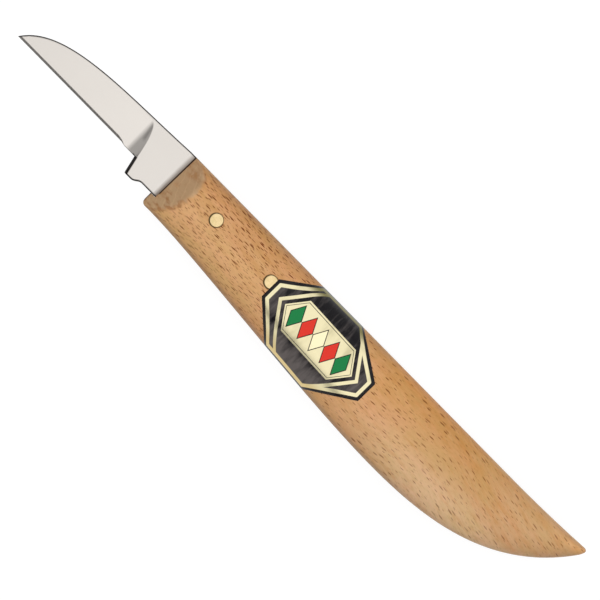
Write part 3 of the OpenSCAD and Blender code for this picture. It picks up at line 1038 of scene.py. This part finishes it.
def beech(wood):
    """Oiled beech with ray flecks, soft streaks and cut grain on the nose bevels."""
    material, nodes, shader = new_material("oiled_beech")
    step, fall, times, blend = nodes.step, nodes.fall, nodes.times, nodes.blend
    place = nodes.place()
    _, y, z = nodes.parts(place)
    behind, drop = nodes.behind_and_drop(place)
    aside = nodes.absolute(nodes.minus(z, ORIGIN.z / MM))
    facing = nodes.facing()
    grain, edge_grain = grain_flow(nodes, place, behind)

    # Plain wood: warm in front, greyer at the butt, paler along its belly, with deeper streaks
    broad = nodes.streaks(grain, (60, 4, 9), 1.6)
    close = nodes.streaks(grain, (14, 0.8, 4), 1.3)
    fibre = nodes.streaks(grain, (2.6, 0.2, 0.6), 1.2)
    cloud = nodes.streaks(place, (3.5, 2.2, 3))
    near_back = times(step(drop, 1.5, 9.0, 0.5, 0.0), step(behind, 60.0, 112.0, 1.0, 0.2))
    deep = nodes.clipped(nodes.plus(broad, close, fibre, cloud, near_back), 0.18)
    pale = times(step(behind, 60.0, 102.0), step(drop, 9.0, 17.5))
    colour = blend(step(behind, 65.0, 105.0), wood.warm_wood, wood.butt_wood)
    colour = blend(pale, colour, wood.pale_wood)
    colour = blend(deep, colour, wood.deep_wood)

    # Tints: close mottling, broad drifts, warmer wood on the rear of the back, a painted lighter
    # patch low on the front, painted light along the back's rim at the rear, and painted shade on
    # the faces turned towards the belly
    mottle = nodes.streaks(grain, (1.6, 0.7, 1.0), 1.6)
    tone = blend(nodes.clipped(mottle, 0.5), (0.92, 0.94, 0.88), (1.08, 1.05, 1.1))
    rear = step(behind, 62.0, 72.0)
    # Painted light: a lighter patch low on the front of the cheek
    glow = times(step(drop, 7.5, 10.5), fall(drop, 15.0, 17.5), fall(behind, 25.0, 45.0))
    rear_back = times(rear, fall(behind, 100.0, 116.0), fall(drop, 5.0, 13.0))
    # Painted light: lighter wood along the back's rim on the rear half
    painted_rear_rim_light = times(rear, fall(drop, 0.4, 3.0))
    # Painted shade: darker, bluer wood on the faces turned towards the belly, fainter near the butt
    painted_belly_side_shade = times(fall(facing[1], -0.93, -0.76), step(behind, 80.0, 105.0, 1.0, 0.2))
    low_front = times(step(drop, 12.5, 16.5, 0.0, 0.5), fall(behind, 12.0, 40.0))
    drift = nodes.minus(nodes.streaks(grain, (11, 4, 5), 3.0), low_front)
    drift = blend(nodes.clipped(drift, 0.5), (0.975, 1.0, 0.94), (1.03, 1.0, 1.06))
    tints = (
        (1.0, tone),
        (glow, (1.05, 1.09, 1.06)),
        (rear_back, (0.96, 0.905, 0.75)),
        (painted_rear_rim_light, (1.22, 1.19, 1.18)),
        (painted_belly_side_shade, (0.79, 0.82, 0.94)),
        (1.0, drift),
    )
    for share, factor in tints:
        colour = blend(share, colour, factor, "MULTIPLY")

    # Flecks, which end at the ragged rim of the nose bevels
    limit = nodes.line(behind, math.tan(wood.nose_angle), wood.nose_land / 2 / MM)
    ragged = nodes.line(cloud, 1.3, nodes.minus(limit, aside))
    ragged = nodes.line(close, 0.8, ragged)
    in_front = fall(behind, 9.0, 12.0)
    nose = times(fall(ragged, 0.05, 0.8), in_front)
    fade = times(
        step(behind, 50.0, 110.0, 1.0, 0.72), nodes.rest(nose), step(behind, *FLECK_FADE, 1.6, 1.0)
    )
    near_belly = step(drop, 6.0, 13.0, 1.0, step(behind, *FLECK_FADE, 0.54, 0.85))
    flat = step(nodes.absolute(facing[2]), 0.3, 0.55)
    strong, fine = wood_flecks(nodes, grain, edge_grain, flat, behind)
    strong, fine = times(strong, fade, near_belly), times(fine, fade, 0.6)
    colour = blend(fine, colour, wood.fleck)
    colour = blend(strong, colour, wood.fleck)

    # Nose bevels: end grain with year rings, and a darker crest where they meet the cheeks
    ring = nodes.maths("FRACT", nodes.line(y, 0.2, nodes.line(z, 0.56, cloud)))
    ring = step(nodes.absolute(nodes.minus(ring, 0.5)), 0.0, 0.12, 0.35, 0.0)
    cut = blend(nodes.clipped(mottle, 0.3), wood.end_grain, (0.49, 0.32, 0.185))
    cut = blend(step(cloud, 0.0, 0.3, 0.0, 0.8), cut, (0.36, 0.2, 0.1))
    cut = blend(ring, cut, (0.62, 0.42, 0.25))
    colour = blend(times(nose, 0.85), colour, cut)
    outer = nodes.plus(step(drop, 3.0, 5.0, 0.6, 0.0), step(drop, 7.5, 11.0))
    crest = times(step(ragged, -0.1, 0.2), fall(ragged, 0.55, 1.2), outer, in_front, 0.8)
    crest = times(crest, step(mottle, -0.2, 0.15, 0.3, 1.0))
    colour = blend(crest, colour, (0.34, 0.15, 0.055))

    # Darker wood beside the steel, and dark rings round the rivets with painted shade towards the
    # belly
    colour = blend(joint_darkening(nodes, behind, drop, aside), colour, (0.026, 0.012, 0.006))
    for at, depth in rivet_places():
        colour = blend(rivet_ring_and_shade(nodes, behind, drop, at, depth), colour, (0.06, 0.036, 0.005))

    height = nodes.minus(times(fibre, 0.6), strong)
    nodes.fill(shader, {
        "Base Color": colour,
        "Roughness": nodes.line(strong, 0.12, nodes.line(fibre, 0.2, 0.52)),
        "Specular IOR Level": 0.22,
        "Normal": nodes.bump(height, 0.03, 0.6),
    })
    return material


def polished_steel(steel):
    """Polished steel with faint lines across the blade, a darker, browner strip just in front of
    the wood, and rims painted dark as painted reflection.
    """
    material, nodes, shader = new_material("polished_steel")
    place = nodes.place()
    behind, drop = nodes.behind_and_drop(place)
    lines = nodes.streaks(place, (0.07, 9, 4))
    cloud = nodes.streaks(place, (14, 6, 6))
    wavy = nodes.line(cloud, 0.5, behind)
    # Darker, browner, rougher strip on the steel just in front of the wood
    strip_by_wood = nodes.times(nodes.step(wavy, 0.2, 1.6), nodes.step(drop, 0.0, 13.0, 0.75, 1.0))
    joint = nodes.times(nodes.step(behind, 1.54, 1.62), nodes.step(drop, 0.1, 0.3))
    on_side = nodes.step(nodes.absolute(nodes.facing()[2]), 0.3, 0.6)
    # Painted reflection: rims of the steel painted dark, fainter on its walls, and made rougher
    dark_and_rough = nodes.times(nodes.attribute("painted_dark_rims"), nodes.line(on_side, 0.7, 0.3))
    duller = [0.96 * part for part in steel.steel]
    colour = nodes.blend(nodes.clipped(cloud, 0.5), steel.steel, duller)
    colour = nodes.blend(strip_by_wood, colour, steel.strip_by_wood)
    colour = nodes.blend(joint, colour, (0.04, 0.018, 0.008))
    colour = nodes.blend(dark_and_rough, colour, steel.painted_dark_steel)
    rough = nodes.line(lines, 0.08, 0.41)
    for mask, change in ((on_side, -0.25), (dark_and_rough, 0.2), (strip_by_wood, 0.25)):
        rough = nodes.line(mask, change, rough)
    nodes.fill(shader, {
        "Base Color": colour,
        "Metallic": 1.0,
        "Roughness": rough,
        "Normal": nodes.bump(lines, 0.0006),
    })
    return material


def sanded_brass(rivet):
    """Brass with fine sanding marks and duller patches."""
    material, nodes, shader = new_material("sanded_brass")
    place = nodes.place()
    marks = nodes.streaks(place, (4, 0.06, 1))
    patches = nodes.streaks(place, (1.5, 1.2, 2), 2.4)
    share = nodes.clipped(nodes.line(marks, 0.5, patches), 0.35)
    nodes.fill(shader, {
        "Base Color": nodes.blend(share, rivet.brass, rivet.tarnish),
        "Metallic": 1.0,
        "Roughness": nodes.line(marks, 0.1, nodes.line(patches, 0.1, 0.2)),
        "Normal": nodes.bump(marks, 0.002),
    })
    return material


def lozenge(nodes, along, across):
    """Distance inside the sides of a lozenge in millimetres, below 0 outside it."""
    inside = nodes.line(along, -1 / LOZENGE_HALF_LENGTH, 1.0)
    inside = nodes.line(across, -1 / LOZENGE_HALF_WIDTH, inside)
    side = math.hypot(LOZENGE_HALF_LENGTH, LOZENGE_HALF_WIDTH)
    return nodes.times(inside, LOZENGE_HALF_LENGTH * LOZENGE_HALF_WIDTH / side)


def printed_foil(foil):
    """Black foil with a gold border, a gold band of red and green lozenges and gold chevrons."""
    material, nodes, shader = new_material("printed_foil")
    step, blend = nodes.step, nodes.blend
    sheet = nodes.add("ShaderNodeUVMap", uv_map="Unrolled").outputs[0]
    centred = nodes.vectors("SUBTRACT", sheet, (0.5, 0.5, 0.0))
    u, v, _ = nodes.parts(nodes.scaled(centred, foil.length / MM))
    flat = nodes.vector(u, v)
    rim = nodes.attribute("border_distance")

    # Gold print: border, middle band and a chevron ahead of it and behind it
    along, across = nodes.absolute(u), nodes.absolute(v)
    point = nodes.line(across, POINT_SLOPE, along)
    sides, ends = nodes.minus(BAND_HALF_WIDTH, across), nodes.minus(BAND_POINT, point)
    band = nodes.maths("MINIMUM", sides, ends)
    border = nodes.between(rim, *BORDER)
    chevron = nodes.times(nodes.between(point, *CHEVRON), step(rim, 1.5, 1.6))
    gold = nodes.most(border, step(band, -0.05, 0.05), chevron)

    # Black field with greyer parts of painted sheen, and gold darkened by painted reflection where
    # it bends away and in bands
    lit = nodes.most(step(v, 3.0, 9.0), step(along, 8.0, 14.0, 0.0, 0.45))
    painted_sheen_share = nodes.line(nodes.streaks(flat, (1.6, 7, 1), 1.4), 1.8, lit, clamp=True)
    painted_sheen_share = nodes.times(painted_sheen_share, step(rim, 0.8, 1.3, 0.1, 1.0))
    # Painted reflection: gold darker where the foil faces the back, olive where it faces the belly,
    # and darker in bands across it
    facing_back = nodes.facing()[1]
    leaf = blend(step(facing_back, 0.35, 0.85), foil.gold, foil.painted_shade_gold)
    leaf = blend(step(facing_back, -0.8, -0.35, 0.9, 0.0), leaf, foil.painted_belly_gold)
    bands = nodes.streaks(flat, (5, 11, 1), 2.0)
    leaf = blend(step(bands, 0.0, 0.5, 0.0, 0.32), leaf, foil.painted_shade_gold)
    colour = blend(gold, blend(painted_sheen_share, foil.field, foil.painted_sheen), leaf)

    # Ink on the gold: a thin line inside the band and a row of outlined lozenges
    ink = nodes.between(band, *INKED, 0.04)
    colour = blend(ink, colour, foil.field)
    fills = (foil.green, foil.red, foil.gold, foil.red, foil.green)
    for place, fill in enumerate(fills, -2):
        beside = nodes.absolute(nodes.minus(u, place * LOZENGE_PITCH))
        slope = lozenge(nodes, beside, across)
        outline = step(slope, -0.04, 0.04)
        colour = blend(outline, colour, foil.field)
        colour = blend(step(slope, 0.16, 0.24), colour, fill)
        ink = nodes.most(ink, outline)
    metal = nodes.times(gold, nodes.rest(ink))

    spot = nodes.place()
    dust = nodes.streaks(spot, (0.5, 0.3, 0.4))
    wrinkle = nodes.streaks(spot, (6, 3, 3))
    nodes.fill(shader, {
        "Base Color": colour,
        "Metallic": metal,
        "Roughness": nodes.line(metal, 0.06, nodes.line(dust, 0.12, 0.24)),
        "IOR": 1.6,
        "Specular IOR Level": 0.16,
        "Normal": nodes.bump(nodes.line(wrinkle, 1.2, metal), 0.02, 0.5),
    })
    return material


def pale_floor(stage):
    """Pale floor that stays white to the eye and keeps a faint shadow."""
    material = bpy.data.materials.new("pale_floor")
    nodes = cleared_nodes(material)
    seen = nodes.add("ShaderNodeLightPath").outputs
    rays = nodes.most(seen["Is Camera Ray"], seen["Is Glossy Ray"], seen["Is Transmission Ray"])
    glow = nodes.add("ShaderNodeEmission", {"Strength": nodes.times(rays, FLOOR_GLOW)})
    matt = nodes.add("ShaderNodeBsdfDiffuse", {"Color": (*stage.floor, 1.0)})
    both = nodes.add("ShaderNodeAddShader", {0: matt.outputs[0], 1: glow.outputs[0]})
    nodes.add("ShaderNodeOutputMaterial", {"Surface": both.outputs[0]})
    return material


# Lights

def wide_lamp(name, place, size, radiance):
    """Square lamp that shines at the knife with a given brightness, not seen in reflections."""
    lamp = bpy.data.lights.new(name, "AREA")
    lamp.shape, lamp.size = "SQUARE", size
    lamp.energy = radiance * math.pi * size**2
    holder = bpy.data.objects.new(name, lamp)
    holder.location = place
    holder.rotation_euler = (-Vector(place)).to_track_quat("-Z", "Y").to_euler()
    holder.visible_glossy = holder.visible_camera = False
    bpy.context.scene.collection.objects.link(holder)


def studio_world():
    """Bright soft dome, darker near the horizon, with a dark strip on the belly's side."""
    world = bpy.data.worlds.new("studio")
    nodes = cleared_nodes(world)
    step, times = nodes.step, nodes.times
    x, y, z = nodes.parts(nodes.add("ShaderNodeTexCoord").outputs["Generated"])
    ramp = nodes.line(x, 1 / 0.39, 0.5 / 0.39, clamp=True)
    strip = nodes.most(step(y, -0.54, -0.42, 0.06, 1.0), step(y, -0.92, -0.74, 0.75, 0.0))
    level = times(
        nodes.line(ramp, 0.6, 0.4),
        step(x, 0.3, 0.8, 1.0, 0.45),
        strip,
        step(y, -0.3, 0.0, 1.05, 0.97),
        step(y, 0.25, 0.95, 1.0, 0.4),
        step(z, 0.0, 0.3, 0.12, 1.0),
    )
    # Reflections see a brighter dome low on the belly's side and on the back's side
    belly_side = times(step(z, 0.68, 0.8, 0.85, 0.0), nodes.fall(y, -0.55, -0.3))
    back_side = times(step(z, 0.7, 0.92, 0.85, 0.0), step(y, 0.25, 0.5))
    seen = nodes.add("ShaderNodeLightPath").outputs
    mirrored = times(nodes.most(belly_side, back_side), seen["Is Glossy Ray"])
    level = nodes.most(level, mirrored, seen["Is Camera Ray"])
    light = nodes.add(
        "ShaderNodeBackground", {"Color": (1.0, 0.99, 0.98, 1.0), "Strength": level}
    )
    nodes.add("ShaderNodeOutputWorld", {"Surface": light.outputs[0]})
    bpy.context.scene.world = world


# Operators

class CARVING_KNIFE_OT_handle(bpy.types.Operator):
    """Build the beech handle with its nose bevels, tang slot and rivet holes"""

    bl_idname = "carving_knife.handle"
    bl_label = "Beech Handle"
    bl_options = {"REGISTER", "UNDO"}

    def execute(self, context):
        knife = context.scene.carving_knife
        piece = new_piece("beech_handle", *handle_mesh(knife.handle), weld=WELD)
        cut_away(piece, slot_cutter(knife.blade, SLOT_REACH))
        drill(piece, knife, WOOD_ROOM)
        finish_piece(piece, beech(knife.handle), ["handle"])
        return {"FINISHED"}


class CARVING_KNIFE_OT_blade(bpy.types.Operator):
    """Build the flat-ground blade with its heel and its tang"""

    bl_idname = "carving_knife.blade"
    bl_label = "Steel Blade"
    bl_options = {"REGISTER", "UNDO"}

    def execute(self, context):
        knife = context.scene.carving_knife
        form = BladeForm(knife.blade)
        piece = new_piece("steel_blade", *blade_mesh(form), weld=WELD)
        drill(piece, knife, STEEL_ROOM)
        mark_rims(piece.data, form)
        finish_piece(piece, polished_steel(knife.blade), ["blade"], sharp=28.0)
        return {"FINISHED"}


class CARVING_KNIFE_OT_rivets(bpy.types.Operator):
    """Build the two brass rivets, dressed flush with the cheeks"""

    bl_idname = "carving_knife.rivets"
    bl_label = "Brass Rivets"
    bl_options = {"REGISTER", "UNDO"}

    def execute(self, context):
        knife = context.scene.carving_knife
        profile = rivet_profile(knife.rivets, knife.handle.thickness / 2)
        material = sanded_brass(knife.rivets)
        for name, (at, depth) in zip(("front_rivet", "rear_rivet"), rivet_places()):
            piece = turned("brass_" + name, at, depth, profile)
            finish_piece(piece, material, [name], sharp=50.0)
        return {"FINISHED"}


class CARVING_KNIFE_OT_label(bpy.types.Operator):
    """Lay the foil label over the cheek"""

    bl_idname = "carving_knife.label"
    bl_label = "Foil Label"
    bl_options = {"REGISTER", "UNDO"}

    def execute(self, context):
        knife = context.scene.carving_knife
        piece = label_piece(knife.label, HandleForm(knife.handle))
        finish_piece(piece, printed_foil(knife.label), ["label"])
        return {"FINISHED"}


class CARVING_KNIFE_OT_stage(bpy.types.Operator):
    """Set the floor, the lamps and the camera"""

    bl_idname = "carving_knife.stage"
    bl_label = "Stage"
    bl_options = {"REGISTER", "UNDO"}

    def execute(self, context):
        scene, stage = context.scene, context.scene.carving_knife.stage
        side = stage.floor_size / 2
        corners = [(-side, -side, 0), (side, -side, 0), (side, side, 0), (-side, side, 0)]
        floor = new_piece("floor", corners, [[0, 1, 2, 3]])
        floor.data.materials.append(pale_floor(stage))

        for name, lamp in LAMPS.items():
            wide_lamp(name, *lamp)
        studio_world()

        camera = bpy.data.objects.new("camera", bpy.data.cameras.new("camera"))
        camera.data.lens, camera.data.sensor_width = stage.lens, SENSOR_WIDTH
        camera.location = (CAMERA_X, CAMERA_Y, stage.camera_height)
        camera.rotation_euler = (0.0, 0.0, stage.turn)
        scene.collection.objects.link(camera)
        scene.camera = camera
        scene.view_settings.view_transform = "Standard"
        return {"FINISHED"}


class CARVING_KNIFE_PT_panel(bpy.types.Panel):
    """Settings of the knife, with the operators that build it"""

    bl_label = "Carving Knife"
    bl_idname = "CARVING_KNIFE_PT_panel"
    bl_space_type = "VIEW_3D"
    bl_region_type = "UI"
    bl_category = "Carving Knife"

    def draw(self, context):
        knife = context.scene.carving_knife
        rows = [
            (knife.handle, CARVING_KNIFE_OT_handle),
            (knife.blade, CARVING_KNIFE_OT_blade),
            (knife.rivets, CARVING_KNIFE_OT_rivets),
            (knife.label, CARVING_KNIFE_OT_label),
            (knife.stage, CARVING_KNIFE_OT_stage),
        ]
        for settings, operator in rows:
            box = self.layout.box()
            for name in settings.__annotations__:
                box.prop(settings, name)
            box.operator(operator.bl_idname)


CLASSES = (
    HandleSettings,
    BladeSettings,
    RivetSettings,
    LabelSettings,
    StageSettings,
    KnifeSettings,
    CARVING_KNIFE_OT_handle,
    CARVING_KNIFE_OT_blade,
    CARVING_KNIFE_OT_rivets,
    CARVING_KNIFE_OT_label,
    CARVING_KNIFE_OT_stage,
    CARVING_KNIFE_PT_panel,
)


def register():
    """Registers the classes and the scene's settings."""
    for cls in CLASSES:
        bpy.utils.register_class(cls)
    bpy.types.Scene.carving_knife = PointerProperty(type=KnifeSettings)


def unregister():
    """Takes the settings and the classes away again."""
    del bpy.types.Scene.carving_knife
    for cls in reversed(CLASSES):
        bpy.utils.unregister_class(cls)


def main():
    """Builds the knife and its stage."""
    register()
    bpy.ops.carving_knife.handle()
    bpy.ops.carving_knife.blade()
    bpy.ops.carving_knife.rivets()
    bpy.ops.carving_knife.label()
    bpy.ops.carving_knife.stage()


if __name__ == "__main__":
    main()
